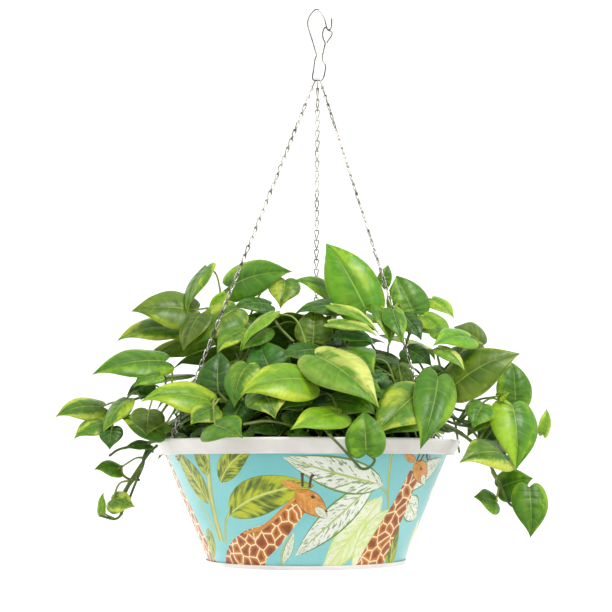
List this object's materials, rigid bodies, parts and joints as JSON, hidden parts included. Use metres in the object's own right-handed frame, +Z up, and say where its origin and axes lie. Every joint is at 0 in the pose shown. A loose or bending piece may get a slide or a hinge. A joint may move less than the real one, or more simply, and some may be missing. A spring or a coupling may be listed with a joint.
{
  "type": "hanging planter with trailing plants",
  "caption": "Trailing golden pothos in a tapered printed tub with a white rim, hung by three fine chains from a bent-wire hook.",
  "frame": {"origin": "where the hook hangs, on the inside of its bow's top", "axes": "+Z up, +Y away from the front, +X to the right"},
  "size_m": [0.48, 0.385, 0.5652],
  "materials": {
    "bright_wire": "bright zinc-plated wire",
    "printed_tub": "satin printed wrap",
    "white_enamel": "satin white",
    "potting_mix": "rough, crumbly",
    "pothos_leaf": "waxy, semi-gloss"
  },
  "bodies": {
    "hook": {"hook": "bright_wire"},
    "basket": {"top_link_left": "bright_wire", "top_link_back": "bright_wire", "top_link_right": "bright_wire", "chain_left": "bright_wire", "chain_back": "bright_wire", "chain_right": "bright_wire", "clip_left": "bright_wire", "clip_back": "bright_wire", "clip_right": "bright_wire", "planter_shell": "printed_tub", "rim_band": "white_enamel", "base_band": "white_enamel", "soil": "potting_mix", "vine_left_upper": "pothos_leaf", "vine_left_outer": "pothos_leaf", "vine_left_trailing": "pothos_leaf", "vine_front_left": "pothos_leaf", "vine_front_middle": "pothos_leaf", "vine_front_right": "pothos_leaf", "vine_top_middle": "pothos_leaf", "vine_top_right": "pothos_leaf", "vine_right_outer": "pothos_leaf", "vine_right_long": "pothos_leaf", "vine_right_trailing": "pothos_leaf", "vine_rear_right": "pothos_leaf", "vine_rear_right_mid": "pothos_leaf", "vine_rear_middle": "pothos_leaf", "vine_rear_left_mid": "pothos_leaf", "vine_rear_left": "pothos_leaf", "vine_inner_right": "pothos_leaf", "vine_inner_rear": "pothos_leaf", "vine_inner_left": "pothos_leaf", "vine_inner_front": "pothos_leaf"}
  },
  "joints": [
    {"name": "swing", "type": "hinge", "parent": "hook", "child": "basket", "pos_m": [0, 0, -0.075], "axis": [1, 0, 0], "range_deg": [-25, 25]}
  ]
}
